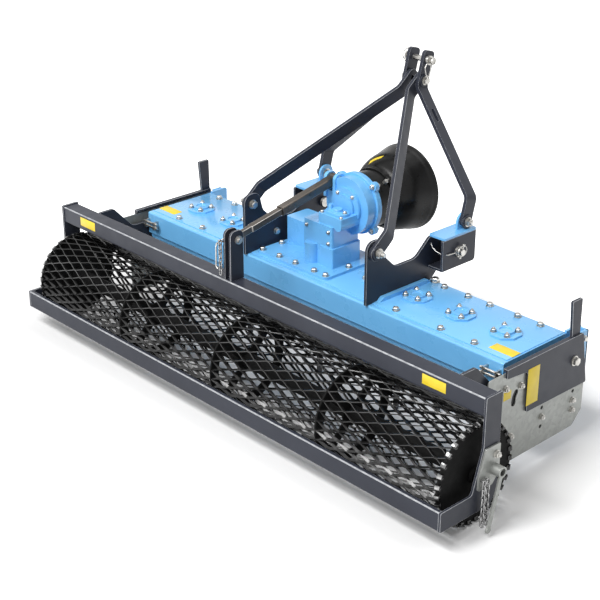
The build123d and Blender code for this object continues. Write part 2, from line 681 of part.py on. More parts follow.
nodes = {
    "trough_pan": trough_pan(),
    "trough_lid": trough_lid(),
    "bearing_caps": bearing_caps(),
    "bearing_seats": bearing_seats(),
    "gearbox_housing": gearbox_housing(),
    "gearbox_bell": gearbox_bell(),
    "gearbox_cover": gearbox_cover(),
    "guard_collar": guard_collar(),
    "guard_cone": guard_cone(),
    "pto_shaft": pto_shaft(),
    "saddle_plates": pair(saddle_plate()),
    "hitch_cheeks": pair(hitch_cheek()),
    "hitch_tops": pair(hitch_top()),
    "hitch_pins": pair(hitch_pin()),
    "front_legs": pair(front_leg()),
    "rear_struts": pair(rear_strut()),
    "top_pin": top_pin(),
    "side_plates": pair(end_side_plate()),
    "corner_uprights": pair(corner_upright()),
    "deflectors": pair(deflector()),
    "deflector_brackets": deflector_brackets(),
    "pivot_bolts": pair(pivot_bolt()),
    "stop_pins": pair(stop_pin()),
    "link_pin": link_pin(),
    "top_beam": top_beam(),
    "lower_beam": lower_beam(),
    "end_plates": pair(end_plate()),
    "roller_arms": pair(roller_arm()),
    "depth_upright": depth_upright(),
    "end_brackets": pair(end_bracket()),
    "keeper_chains": keeper_chains(),
    "mesh_drum": mesh_drum(),
    "roller_discs": roller_discs(),
    "roller_axle": roller_axle(),
    "link_sleeve": link_sleeve(),
    "link_rod": link_rod(),
}
for number, place in enumerate(rotor_places(), start=1):
    nodes[f"rotor_{number}"] = rotor(place, 90 * (number % 2))

os.makedirs("parts", exist_ok=True)
for name, shape in nodes.items():
    export_step(Pos(0, -MIDDLE_Y, 0) * shape, f"parts/{name}.step")
print("nodes", len(nodes), "middle_y", round(MIDDLE_Y, 3))
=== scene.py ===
"""Power harrow with a mesh roller: paint, expanded metal, fasteners, studio floor and camera."""
import json
from math import atan2, cos, hypot, pi, radians, sin

import bmesh
import bpy
from mathutils import Matrix, Vector

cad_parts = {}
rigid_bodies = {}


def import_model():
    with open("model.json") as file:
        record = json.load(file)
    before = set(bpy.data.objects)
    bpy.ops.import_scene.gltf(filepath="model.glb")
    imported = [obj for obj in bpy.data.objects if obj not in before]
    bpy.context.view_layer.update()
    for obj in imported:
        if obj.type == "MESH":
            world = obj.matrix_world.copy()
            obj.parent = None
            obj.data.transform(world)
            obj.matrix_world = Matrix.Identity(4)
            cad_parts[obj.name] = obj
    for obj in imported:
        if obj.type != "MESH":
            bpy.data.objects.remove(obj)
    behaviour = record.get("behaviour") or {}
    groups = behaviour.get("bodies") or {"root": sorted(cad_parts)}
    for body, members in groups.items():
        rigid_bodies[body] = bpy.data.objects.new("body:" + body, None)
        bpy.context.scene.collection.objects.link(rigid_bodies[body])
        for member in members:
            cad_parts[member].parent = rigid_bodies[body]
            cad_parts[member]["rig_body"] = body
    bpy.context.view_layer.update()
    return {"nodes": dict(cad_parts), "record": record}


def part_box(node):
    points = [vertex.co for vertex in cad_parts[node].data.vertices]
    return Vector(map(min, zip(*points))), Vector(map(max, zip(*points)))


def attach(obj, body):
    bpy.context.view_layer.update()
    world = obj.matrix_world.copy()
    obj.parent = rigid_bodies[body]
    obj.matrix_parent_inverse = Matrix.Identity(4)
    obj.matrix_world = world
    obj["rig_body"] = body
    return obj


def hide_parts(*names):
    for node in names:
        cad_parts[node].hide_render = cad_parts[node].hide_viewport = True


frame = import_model()

# Places are written in millimetres, with y from the rear face of the roller frame's top beam.
MM = 0.001
BEAM_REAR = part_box("top_beam")[0].y
LID_TOP = 375
SHEET_TOP = 377.5
PTO_Z = 578
LEFT_RIGHT = (-1, 1)

# Centres of pins and bolts across the machine, as y and z.
LOWER_PIN = (624, 477)
TOP_PIN = (796, 1019)
LEG_FOOT = (676, 562)
STRUT_FOOT = (292, 551)
ARM_PIVOT = (557, 299)
LINK_FRONT = (478, 650)
LINK_REAR = (36, 558)

SLOT_OF = {part["node"]: part["material_slot"] for part in frame["record"]["subparts"]}
BODY_OF = {node: obj["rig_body"] for node, obj in frame["nodes"].items()}


def at(x, y, z):
    """A point in the frame's metres."""
    return Vector((x * MM, BEAM_REAR + y * MM, z * MM))


# Materials

def start_material(name):
    """New material, with its node tree and its main shader."""
    material = bpy.data.materials.new(name)
    material.use_nodes = True
    return material, material.node_tree, material.node_tree.nodes["Principled BSDF"]


def cloud(tree, scale, detail=4.0, stretch=(1, 1, 1)):
    """Noise over the piece, stretched along the axes where the finish has a direction."""
    coords = tree.nodes.new("ShaderNodeTexCoord")
    mapping = tree.nodes.new("ShaderNodeMapping")
    mapping.inputs["Scale"].default_value = stretch
    noise = tree.nodes.new("ShaderNodeTexNoise")
    noise.inputs["Scale"].default_value = scale
    noise.inputs["Detail"].default_value = detail
    tree.links.new(coords.outputs["Object"], mapping.inputs["Vector"])
    tree.links.new(mapping.outputs["Vector"], noise.inputs["Vector"])
    return noise.outputs["Fac"]


def spangle(tree, scale):
    """Crystal cells of a zinc coat."""
    coords = tree.nodes.new("ShaderNodeTexCoord")
    cells = tree.nodes.new("ShaderNodeTexVoronoi")
    cells.inputs["Scale"].default_value = scale
    tree.links.new(coords.outputs["Object"], cells.inputs["Vector"])
    return cells.outputs["Color"]


def tint(tree, shader, source, dark, light, low=0.35, high=0.65):
    """Colour that drifts between two shades with a texture."""
    shades = tree.nodes.new("ShaderNodeValToRGB")
    shades.color_ramp.elements[0].position = low
    shades.color_ramp.elements[0].color = (*dark, 1)
    shades.color_ramp.elements[1].position = high
    shades.color_ramp.elements[1].color = (*light, 1)
    tree.links.new(source, shades.inputs["Fac"])
    tree.links.new(shades.outputs["Color"], shader.inputs["Base Color"])


def gloss(tree, shader, source, smooth, rough):
    """Roughness that drifts between two values with a texture."""
    spread = tree.nodes.new("ShaderNodeMapRange")
    spread.inputs["From Min"].default_value = 0.3
    spread.inputs["From Max"].default_value = 0.7
    spread.inputs["To Min"].default_value = smooth
    spread.inputs["To Max"].default_value = rough
    tree.links.new(source, spread.inputs["Value"])
    tree.links.new(spread.outputs["Result"], shader.inputs["Roughness"])


def relief(tree, shader, source, strength, depth):
    """Fine bumps in the surface."""
    bump = tree.nodes.new("ShaderNodeBump")
    bump.inputs["Strength"].default_value = strength
    bump.inputs["Distance"].default_value = depth
    tree.links.new(source, bump.inputs["Height"])
    tree.links.new(bump.outputs["Normal"], shader.inputs["Normal"])


def blue_enamel():
    material, tree, shader = start_material("blue_enamel")
    tint(tree, shader, cloud(tree, 2.5), (0.165, 0.50, 0.90), (0.190, 0.545, 0.94))
    gloss(tree, shader, cloud(tree, 14), 0.24, 0.36)
    relief(tree, shader, cloud(tree, 260, 2), 0.06, 0.0006)
    shader.inputs["Coat Weight"].default_value = 0.45
    shader.inputs["Coat Roughness"].default_value = 0.12
    return material


def charcoal_powder_coat():
    material, tree, shader = start_material("charcoal_powder_coat")
    tint(tree, shader, cloud(tree, 5), (0.026, 0.029, 0.041), (0.034, 0.038, 0.053))
    gloss(tree, shader, cloud(tree, 30), 0.30, 0.42)
    shader.inputs["Specular IOR Level"].default_value = 0.24
    relief(tree, shader, cloud(tree, 700, 2), 0.10, 0.0005)
    return material


def charcoal_edge_highlight():
    """Lighter charcoal on plates' rounded edges: a painted highlight where the edges catch the light."""
    material, tree, shader = start_material("charcoal_edge_highlight")
    tint(tree, shader, cloud(tree, 60), (0.28, 0.29, 0.31), (0.46, 0.47, 0.49))
    gloss(tree, shader, cloud(tree, 90), 0.28, 0.4)
    return material


def roller_black():
    material, tree, shader = start_material("roller_black")
    tint(tree, shader, cloud(tree, 9), (0.004, 0.004, 0.004), (0.008, 0.008, 0.008))
    gloss(tree, shader, cloud(tree, 40), 0.14, 0.26)
    shader.inputs["Specular IOR Level"].default_value = 0.6
    relief(tree, shader, cloud(tree, 300, 3), 0.12, 0.0006)
    return material


def dull_black():
    """Thin primer on the plates inside the drum."""
    material, tree, shader = start_material("dull_black")
    tint(tree, shader, cloud(tree, 9), (0.005, 0.005, 0.005), (0.009, 0.009, 0.009))
    gloss(tree, shader, cloud(tree, 40), 0.6, 0.8)
    shader.inputs["Specular IOR Level"].default_value = 0.12
    return material


def grey_metal_and_glint():
    """Bright grey metal on the chains; on the outward faces of the rim knobs it is a painted glint."""
    material, tree, shader = start_material("grey_metal_and_glint")
    shader.inputs["Metallic"].default_value = 0.9
    tint(tree, shader, cloud(tree, 70), (0.20, 0.20, 0.20), (0.42, 0.42, 0.42))
    gloss(tree, shader, cloud(tree, 90), 0.18, 0.30)
    return material


def galvanised_sheet():
    material, tree, shader = start_material("galvanised_sheet")
    shader.inputs["Metallic"].default_value = 0.55
    tint(tree, shader, spangle(tree, 90), (0.29, 0.30, 0.285), (0.35, 0.36, 0.345), 0.1, 0.9)
    gloss(tree, shader, cloud(tree, 12), 0.36, 0.52)
    relief(tree, shader, cloud(tree, 90, 3), 0.05, 0.0008)
    return material


def zinc_plate():
    material, tree, shader = start_material("zinc_plate")
    shader.inputs["Metallic"].default_value = 1.0
    tint(tree, shader, cloud(tree, 60), (0.40, 0.39, 0.365), (0.56, 0.55, 0.525))
    gloss(tree, shader, cloud(tree, 120), 0.28, 0.44)
    relief(tree, shader, cloud(tree, 500, 2), 0.08, 0.0003)
    return material


def oiled_steel():
    material, tree, shader = start_material("oiled_steel")
    shader.inputs["Metallic"].default_value = 0.8
    tint(tree, shader, cloud(tree, 24, 5, (1, 0.15, 1)), (0.07, 0.06, 0.052), (0.16, 0.14, 0.122))
    gloss(tree, shader, cloud(tree, 50), 0.26, 0.44)
    relief(tree, shader, cloud(tree, 220, 4, (1, 0.2, 1)), 0.10, 0.0005)
    return material


def steel_edge_highlight():
    """Bright steel on the link's rounded corners: a painted highlight where its edges catch the light."""
    material, tree, shader = start_material("steel_edge_highlight")
    shader.inputs["Metallic"].default_value = 0.9
    tint(tree, shader, cloud(tree, 40, 4, (1, 0.2, 1)), (0.34, 0.32, 0.30), (0.60, 0.57, 0.54))
    gloss(tree, shader, cloud(tree, 60), 0.26, 0.42)
    return material


def guard_plastic():
    material, tree, shader = start_material("guard_plastic")
    tint(tree, shader, cloud(tree, 8), (0.006, 0.006, 0.006), (0.010, 0.010, 0.010))
    gloss(tree, shader, cloud(tree, 20), 0.24, 0.34)
    relief(tree, shader, cloud(tree, 420, 2), 0.14, 0.0005)
    shader.inputs["Specular IOR Level"].default_value = 0.2
    return material


def machined_steel():
    material, tree, shader = start_material("machined_steel")
    shader.inputs["Metallic"].default_value = 1.0
    tint(tree, shader, cloud(tree, 90, 3, (0.3, 4, 0.3)), (0.46, 0.46, 0.46), (0.66, 0.66, 0.66))
    gloss(tree, shader, cloud(tree, 60), 0.18, 0.3)
    relief(tree, shader, cloud(tree, 160, 2, (0.2, 6, 0.2)), 0.06, 0.0003)
    return material


def forged_steel():
    material, tree, shader = start_material("forged_steel")
    shader.inputs["Metallic"].default_value = 0.5
    tint(tree, shader, cloud(tree, 18, 6), (0.035, 0.034, 0.036), (0.085, 0.083, 0.085))
    gloss(tree, shader, cloud(tree, 30), 0.42, 0.62)
    relief(tree, shader, cloud(tree, 140, 5), 0.25, 0.001)
    return material


def yellow_vinyl():
    material, tree, shader = start_material("yellow_vinyl")
    tint(tree, shader, cloud(tree, 40), (0.84, 0.62, 0.02), (0.90, 0.68, 0.03))
    gloss(tree, shader, cloud(tree, 80), 0.28, 0.42)
    relief(tree, shader, cloud(tree, 300, 2), 0.05, 0.0003)
    return material


YELLOW = yellow_vinyl()
GREY_METAL_AND_GLINT = grey_metal_and_glint()
# Lighter materials for rounded edges: painted highlights standing in for the light the edges catch.
EDGE = {"charcoal_paint": charcoal_edge_highlight(), "link_steel": steel_edge_highlight()}
DULL = dull_black()
INSIDE_DRUM = ("roller_discs", "roller_axle")
FINISH = {
    "blue_paint": blue_enamel(),
    "charcoal_paint": charcoal_powder_coat(),
    "black_paint": roller_black(),
    "galvanised": galvanised_sheet(),
    "zinc": zinc_plate(),
    "link_steel": oiled_steel(),
    "guard_plastic": guard_plastic(),
    "bright_steel": machined_steel(),
    "tine_steel": forged_steel(),
}


# Helpers for pieces

def piece(name, bm, body, slot, crease=40, material=None):
    """Mesh object from a bmesh, riding on a body, with edges over the crease angle kept sharp."""
    mesh = bpy.data.meshes.new(name)
    bm.to_mesh(mesh)
    bm.free()
    mesh.materials.append(material or FINISH[slot])
    mesh.shade_smooth()
    mesh.set_sharp_from_angle(angle=radians(crease))
    obj = bpy.data.objects.new(name, mesh)
    bpy.context.scene.collection.objects.link(obj)
    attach(obj, body)
    return obj


def facing(spot, out):
    """Matrix that stands a shape made along +Z on a spot, pointing outwards."""
    return Matrix.Translation(spot) @ Vector(out).to_track_quat("Z", "Y").to_matrix().to_4x4()


def add_length(bm, stand, low, high, r_low, r_high=None, sides=20):
    """Round or many-sided length between two heights above a stand, sizes in millimetres."""
    middle = Matrix.Translation((0, 0, (low + high) / 2 * MM))
    bmesh.ops.create_cone(bm, cap_ends=True, segments=sides, radius1=r_low * MM,
                          radius2=(r_low if r_high is None else r_high) * MM,
                          depth=(high - low) * MM, matrix=stand @ middle)


def add_bolt(bm, spot, out, flats, stud=0):
    """Washer, six-sided head with a chamfer, and a stud end where the thread shows."""
    stand = facing(spot, out)
    corner = flats / 2 / cos(pi / 6)
    washer = flats * 0.13
    head = washer + flats * 0.42
    add_length(bm, stand, -1, washer, flats * 0.68)
    add_length(bm, stand, washer, head, corner, sides=6)
    add_length(bm, stand, head, head + flats * 0.1, corner * 0.98, corner * 0.8, sides=6)
    if stud:
        add_length(bm, stand, head, head + stud, flats * 0.32)
        add_length(bm, stand, head + stud, head + stud + 2, flats * 0.32, flats * 0.25)


def add_ring(bm, stand, radius, wire, squash=1.0, steps=28):
    """Wire ring lying flat on a stand."""
    upright = Matrix.Translation((radius * MM, 0, 0)) @ Matrix.Rotation(pi / 2, 4, "X")
    made = bmesh.ops.create_circle(bm, segments=8, radius=wire * MM, matrix=upright)
    loop = made["verts"] + list({edge for vert in made["verts"] for edge in vert.link_edges})
    before = set(bm.verts)
    bmesh.ops.spin(bm, geom=loop, cent=(0, 0, 0), axis=(0, 0, 1), angle=2 * pi, steps=steps, use_merge=True)
    ring = made["verts"] + [vert for vert in bm.verts if vert not in before]
    ring = [vert for vert in ring if vert.is_valid]
    bmesh.ops.transform(bm, matrix=stand @ Matrix.Diagonal((1, squash, 1, 1)), verts=ring)


def rounded(bm, edges, width, clamp=False):
    """Rounds edges off by a width in millimetres, and gives back the new faces."""
    made = bmesh.ops.bevel(bm, geom=edges, offset=width * MM, offset_type="OFFSET", segments=2, profile=0.5,
                           affect="EDGES", material=-1, clamp_overlap=clamp)
    return made["faces"]


def add_brick(bm, stand, size, soft):
    """Rounded brick of a size in millimetres, round the middle of a stand."""
    metres = [length * MM for length in size]
    made = bmesh.ops.create_cube(bm, size=1, matrix=stand @ Matrix.Diagonal((*metres, 1)))
    rounded(bm, list({edge for vert in made["verts"] for edge in vert.link_edges}), soft)


def add_block(bm, low, high, soft):
    """Box between two corners in millimetres, with its edges rounded."""
    middle = at(*[(a + b) / 2 for a, b in zip(low, high)])
    add_brick(bm, Matrix.Translation(middle), [b - a for a, b in zip(low, high)], soft)


def add_wire(bm, points, radius):
    """Bent wire through points in millimetres."""
    places = [at(*point) for point in points]
    for start, end in zip(places, places[1:]):
        along = end - start
        overlap = radius * 0.4
        add_length(bm, facing(start, along), -overlap, along.length / MM + overlap, radius, sides=10)


def closed(bm):
    """Merges doubles and turns all faces outwards."""
    bmesh.ops.remove_doubles(bm, verts=bm.verts, dist=1e-6)
    bmesh.ops.recalc_face_normals(bm, faces=bm.faces)


FLAT_ANGLE = radians(1.5)
SHARP_ANGLE = radians(35)
HIGHLIGHT_BAND_SHARE = 0.45


def softened(node, width):
    """Copy of a solid with its sharp edges rounded off, and, where its slot has one, a lighter painted
    highlight on the rounded edges and along the beams' rounded rear-top corners.
    """
    bm = bmesh.new()
    bm.from_mesh(frame["nodes"][node].data)
    bmesh.ops.remove_doubles(bm, verts=bm.verts, dist=1e-5)
    bmesh.ops.dissolve_limit(bm, angle_limit=FLAT_ANGLE, verts=bm.verts, edges=bm.edges)
    sharp = [edge for edge in bm.edges if edge.is_manifold and edge.calc_face_angle(0) > SHARP_ANGLE]
    corners = rounded(bm, sharp, width, clamp=True)
    edge = EDGE.get(SLOT_OF[node])
    if edge:
        # Rounded edges take the lighter second material: a painted highlight.
        for face in corners:
            face.material_index = 1
        for face in bm.faces:
            face.normal_update()
            # A band along the middle of the beams' rounded rear-top corners, facing back and up, takes it
            # too: a painted highlight line.
            if node.endswith("_beam") and min(abs(face.normal.y), face.normal.z) > HIGHLIGHT_BAND_SHARE:
                face.material_index = 1
    obj = piece(node + "_dressed", bm, BODY_OF[node], SLOT_OF[node])
    if edge:
        obj.data.materials.append(edge)
    if node in INSIDE_DRUM:
        obj.data.materials[0] = DULL
    even = obj.modifiers.new("even_light", "WEIGHTED_NORMAL")
    even.keep_sharp = True
    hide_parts(node)


# Expanded-metal drum

ROWS_ROUND = 62
DIAMONDS_LONG = 22
STRAND_WIDE = 3.0
STRAND_DEEP = 7.0
STRAND_LEAN = 1.9
BOND_SHARE = 0.07
KNOB_PROUD = 5.4
KNOB_SIZE = (16, 15, 13)
KNOB_INSET = 9
KNOB_LEAN = 22
KNOB_SOFT = 1.6
KNOB_OUTER_FACE = 0.9


def mesh_drum():
    """Zigzag strands, row beside row, each bonded to the next at its peaks and leaning outwards."""
    low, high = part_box("mesh_drum")
    half = (high.x - low.x) / 2
    outside = (high.z - low.z) / 2 - KNOB_PROUD * MM
    pitch = 2 * half / DIAMONDS_LONG
    row = 2 * pi / ROWS_ROUND
    climb = row - 0.8 * STRAND_WIDE * MM / outside
    columns = (0, BOND_SHARE, 0.5 - BOND_SHARE, 0.5 + BOND_SHARE, 1 - BOND_SHARE, 1)
    lifts = (0, 0, 1, 1, 0, 0)
    bm = bmesh.new()
    bmesh.ops.create_grid(bm, x_segments=5, y_segments=1, size=0.5)
    across = sorted(bm.verts, key=lambda vert: (round(vert.co.x, 3), vert.co.y))
    for n, vert in enumerate(across):
        outer = n % 2
        vert.co = (columns[n // 2] * pitch, 0, outside - (0 if outer else STRAND_DEEP * MM))
        turn = -lifts[n // 2] * climb + outer * radians(STRAND_LEAN)
        bmesh.ops.rotate(bm, verts=[vert], cent=(0, 0, 0), matrix=Matrix.Rotation(turn, 3, "X"))
    strand = bm.verts[:] + bm.edges[:] + bm.faces[:]
    for n in range(1, DIAMONDS_LONG + 2):
        copy = bmesh.ops.duplicate(bm, geom=strand)
        moved = [item for item in copy["geom"] if isinstance(item, bmesh.types.BMVert)]
        bmesh.ops.translate(bm, verts=moved, vec=(n * pitch, 0, 0))
    bmesh.ops.translate(bm, verts=bm.verts, vec=(-half - pitch, 0, 0))
    closed(bm)
    bmesh.ops.solidify(bm, geom=bm.faces[:], thickness=STRAND_WIDE * MM)
    second = bmesh.ops.duplicate(bm, geom=bm.verts[:] + bm.edges[:] + bm.faces[:])
    second = [item for item in second["geom"] if isinstance(item, bmesh.types.BMVert)]
    bmesh.ops.translate(bm, verts=second, vec=(pitch / 2, 0, 0))
    bmesh.ops.rotate(bm, verts=second, cent=(0, 0, 0), matrix=Matrix.Rotation(-row, 3, "X"))
    for side in LEFT_RIGHT:
        everything = bm.verts[:] + bm.edges[:] + bm.faces[:]
        bmesh.ops.bisect_plane(bm, geom=everything, plane_co=(side * half, 0, 0), plane_no=(side, 0, 0),
                               clear_outer=True)
        bmesh.ops.holes_fill(bm, edges=[edge for edge in bm.edges if edge.is_boundary], sides=0)
    pairs = ROWS_ROUND // 2
    bmesh.ops.spin(bm, geom=bm.verts[:] + bm.edges[:] + bm.faces[:], cent=(0, 0, 0), axis=(1, 0, 0),
                   angle=2 * pi * (pairs - 1) / pairs, steps=pairs - 1, use_duplicate=True)
    bmesh.ops.translate(bm, verts=bm.verts, vec=(low + high) / 2)
    bmesh.ops.recalc_face_normals(bm, faces=bm.faces)
    drum = piece("expanded_metal_drum", bm, "roller", "black_paint", crease=30)
    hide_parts("mesh_drum")


def drum_rims():
    """Folded ends of the strands round both rims of the drum, with a painted glint of bright metal on their
    outward faces.
    """
    low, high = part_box("mesh_drum")
    middle = (low + high) / 2
    outside = (high.z - low.z) / 2
    bm = bmesh.new()
    for side in LEFT_RIGHT:
        stand = Matrix.Translation((side * (high.x - KNOB_INSET * MM), 0, outside - KNOB_INSET * MM))
        lean = Matrix.Rotation(side * radians(KNOB_LEAN), 4, "Y")
        add_brick(bm, stand @ lean, KNOB_SIZE, KNOB_SOFT)
    # Outward faces of the knobs take the bright metal: a painted glint.
    for face in bm.faces:
        face.normal_update()
        if face.normal.z > KNOB_OUTER_FACE:
            face.material_index = 1
    knobs = ROWS_ROUND // 2
    bmesh.ops.spin(bm, geom=bm.verts[:] + bm.edges[:] + bm.faces[:], cent=(0, 0, 0), axis=(1, 0, 0),
                   angle=2 * pi * (knobs - 1) / knobs, steps=knobs - 1, use_duplicate=True)
    bmesh.ops.translate(bm, verts=bm.verts, vec=middle)
    rims = piece("drum_rim_knobs", bm, "roller", "black_paint")
    rims.data.materials.append(GREY_METAL_AND_GLINT)


# Drive stub and its guard

BELL_REAR = 500
BELL_FRONT = 520
SPLINES = 6
SPLINE_ROOT_R = 14.6
SPLINE_MIDDLE_R = 14.4
SPLINE_HIGH = 6
SPLINE_WIDE = 8.7
SPLINE_LENGTHS = ((54, 155), (163, 196))


def spline_stub():
    """Six-spline drive stub with the lock groove near its end."""
    bm = bmesh.new()
    stand = facing(at(0, BELL_REAR, PTO_Z), (0, 1, 0))
    add_length(bm, stand, 5, 50, 22, sides=40)
    add_length(bm, stand, 50, 196, SPLINE_ROOT_R, sides=40)
    add_length(bm, stand, 196, 200, SPLINE_ROOT_R, 11.5, sides=40)
    for low, high in SPLINE_LENGTHS:
        for n in range(SPLINES):
            outwards = Matrix.Translation((SPLINE_MIDDLE_R * MM, 0, (low + high) / 2 * MM))
            key = stand @ Matrix.Rotation(n * 2 * pi / SPLINES, 4, "Z") @ outwards
            add_brick(bm, key, (SPLINE_HIGH, SPLINE_WIDE, high - low), 0.8)
    stub = piece("spline_stub", bm, "input_shaft", "bright_steel", crease=30)
    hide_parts("pto_shaft")


# Radius and y along the shield, from its neck to its rim
GUARD_LINE = ((101, 586), (101, 602), (103, 605), (107.5, 609), (112, 614), (118, 623), (123, 632),
              (128, 644), (132, 656), (135.5, 671), (138, 686), (141.5, 702), (145, 716), (147.5, 724),
              (148.5, 738), (150.5, 741), (150.5, 748))


def guard_cone():
    """Bell-shaped plastic shield with a rolled rim, turned about the drive axis."""
    bm = bmesh.new()
    line = [bm.verts.new(at(radius, y, PTO_Z)) for radius, y in GUARD_LINE]
    edges = [bm.edges.new(both) for both in zip(line, line[1:])]
    bmesh.ops.spin(bm, geom=line + edges, cent=at(0, 0, PTO_Z), axis=(0, -1, 0), angle=2 * pi, steps=72,
                   use_merge=True)
    closed(bm)
    bmesh.ops.solidify(bm, geom=bm.faces[:], thickness=4.5 * MM)
    shield = piece("guard_shield", bm, "main_frame", "guard_plastic", crease=50)
    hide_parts("guard_cone")


STRIP_PROUD = 0.8
STRIP_TURN = (106, 10)
STRIP_Y = (629, 12)
STRIP_HALF_WIDTH = 7


def guard_strip():
    """Blank yellow strip slanting over the top of the shield, by the middle and half reach of its line."""
    bm = bmesh.new()
    bmesh.ops.create_grid(bm, x_segments=12, y_segments=3, size=1)
    for vert in bm.verts:
        turn = radians(STRIP_TURN[0] - STRIP_TURN[1] * vert.co.x)
        y = STRIP_Y[0] + STRIP_Y[1] * vert.co.x + STRIP_HALF_WIDTH * vert.co.y
        lengths = zip(GUARD_LINE, GUARD_LINE[1:])
        shield = max(r1 + (r2 - r1) * (y - y1) / (y2 - y1)
                     for (r1, y1), (r2, y2) in lengths if y1 <= y <= y2)
        radius = STRIP_PROUD + shield
        vert.co = at(radius * cos(turn), y, PTO_Z + radius * sin(turn))
    bmesh.ops.recalc_face_normals(bm, faces=bm.faces)
    bmesh.ops.solidify(bm, geom=bm.faces[:], thickness=0.5 * MM)
    piece("guard_yellow_strip", bm, "main_frame", None, material=YELLOW)


CLIP_TURN = 48
COLLAR_R = 100
COLLAR_Y = 572


def guard_clip():
    """Buckle with a wire ring on the collar."""
    bm = bmesh.new()
    angle = radians(CLIP_TURN)
    spot = at(COLLAR_R * cos(angle), COLLAR_Y, PTO_Z + COLLAR_R * sin(angle))
    stand = facing(spot, (cos(angle), 0, sin(angle)))
    add_length(bm, stand, -3, 8, 9, 8, sides=6)
    add_ring(bm, stand @ Matrix.Translation((0, 0, 9 * MM)) @ Matrix.Rotation(pi / 2, 4, "X"), 9, 1.4)
    piece("guard_clamp", bm, "main_frame", "zinc")


# Fasteners

LID_REAR_BOLTS_X = (381, 567, 700)
LID_REAR_BOLTS_Y = 301
LID_FRONT_BOLTS_X = (371, 471, 560, 671, 759)
LID_FRONT_BOLTS_Y = 541
CAP_THICK = 9
CAP_NUTS = (-26, 26)
CAP_Y = 422
CAP_X = (-720, -540, -360, 180, 360, 540, 720)


def lid_sheet():
    """Thin cover sheet on the lid, whose edge shows as a step behind the rear bolts."""
    bm = bmesh.new()
    add_block(bm, (-835, 287, LID_TOP - 1), (835, 561, SHEET_TOP), soft=0.9)
    piece("lid_cover_sheet", bm, "main_frame", "blue_paint")


def trough_bolts():
    """Two rows of lid bolts and four nuts on each bearing cap."""
    bm = bmesh.new()
    for side in LEFT_RIGHT:
        for x in LID_REAR_BOLTS_X:
            add_bolt(bm, at(side * x, LID_REAR_BOLTS_Y, SHEET_TOP), (0, 0, 1), 18)
        for x in LID_FRONT_BOLTS_X:
            add_bolt(bm, at(side * x, LID_FRONT_BOLTS_Y, SHEET_TOP), (0, 0, 1), 18)
        add_bolt(bm, at(side * 318, 556, SHEET_TOP), (0, 0, 1), 24)
    for x in CAP_X:
        for dx in CAP_NUTS:
            for dy in CAP_NUTS:
                add_bolt(bm, at(x + dx, CAP_Y + dy, LID_TOP + CAP_THICK), (0, 0, 1), 15, stud=4)
    piece("trough_bolts", bm, "main_frame", "zinc")


BASE_BOLTS = ((-254, 312), (-170, 312), (-90, 312), (0, 312), (54, 312), (54, 420), (54, 540), (-60, 540),
              (-160, 542), (-254, 542), (-254, 400))
BASE_TOP = 387
BELL_LUGS = (-78, 78)
CASE_TOP = 566
CASE_TOP_BOLTS = ((-40, 386), (48, 386), (48, 486))
CASE_REAR = 371
CASE_REAR_BOLTS = ((-98, 510), (-98, 440), (6, 510), (6, 470))
BARREL_REAR = 462
BARREL_BOLTS_X = (-34, 34)
BARREL_BOLTS_UP = 42


def gearbox_bolts():
    """Bolts round the base plate, on the bell's lugs, the cover, the upper case and the barrel's cap."""
    bm = bmesh.new()
    up = (0, 0, 1)
    for x, y in BASE_BOLTS:
        add_bolt(bm, at(x, y, BASE_TOP), up, 17)
    for x in BELL_LUGS:
        for lift in BELL_LUGS:
            add_bolt(bm, at(x, BELL_REAR, PTO_Z + lift), (0, -1, 0), 14)
            add_bolt(bm, at(x, BELL_FRONT, PTO_Z + lift), (0, 1, 0), 14, stud=4)
    add_bolt(bm, at(38, 414, 575), up, 12)
    for x, y in CASE_TOP_BOLTS:
        add_bolt(bm, at(x, y, CASE_TOP), up, 10)
    for x, z in CASE_REAR_BOLTS:
        add_bolt(bm, at(x, CASE_REAR, z), (0, -1, 0), 10)
    for x in BARREL_BOLTS_X:
        add_bolt(bm, at(x, BARREL_REAR - 10, PTO_Z + BARREL_BOLTS_UP), (0, -1, 0), 10)
    piece("gearbox_bolts", bm, "main_frame", "zinc")


def bearing_cap():
    """Stepped cap on the rear of the gearbox's barrel."""
    bm = bmesh.new()
    stand = facing(at(0, BARREL_REAR, PTO_Z), (0, -1, 0))
    for low, high, radius in ((-1, 9, 66), (9, 10.5, 64.5), (10, 17, 44), (17, 18.5, 42.5)):
        add_length(bm, stand, low, high, radius, sides=48)
    piece("gearbox_bearing_cap", bm, "main_frame", "blue_paint")


STRUT_DROP = 68
LEG_RUN = TOP_PIN[0] - LEG_FOOT[0]
LEG_RISE = TOP_PIN[1] - LEG_FOOT[1]
LEG_LEAN = atan2(LEG_RUN, LEG_RISE)
STRUT_UP = hypot(LEG_RUN, LEG_RISE) - STRUT_DROP
STRUT_TOP = (LEG_FOOT[0] + STRUT_UP * sin(LEG_LEAN), LEG_FOOT[1] + STRUT_UP * cos(LEG_LEAN))


def headstock_bosses():
    """Round pads on the legs' and struts' feet, under the bolt heads."""
    bm = bmesh.new()
    for side in LEFT_RIGHT:
        out = (side, 0, 0)
        add_length(bm, facing(at(side * 305, *STRUT_FOOT), out), -1, 5, 25, 24, sides=36)
        add_length(bm, facing(at(side * 338, *LEG_FOOT), out), -1, 4, 24, 23, sides=36)
        add_length(bm, facing(at(side * 38, *STRUT_TOP), out), -1, 4, 22, 21, sides=36)
    piece("headstock_bosses", bm, "main_frame", "charcoal_paint")


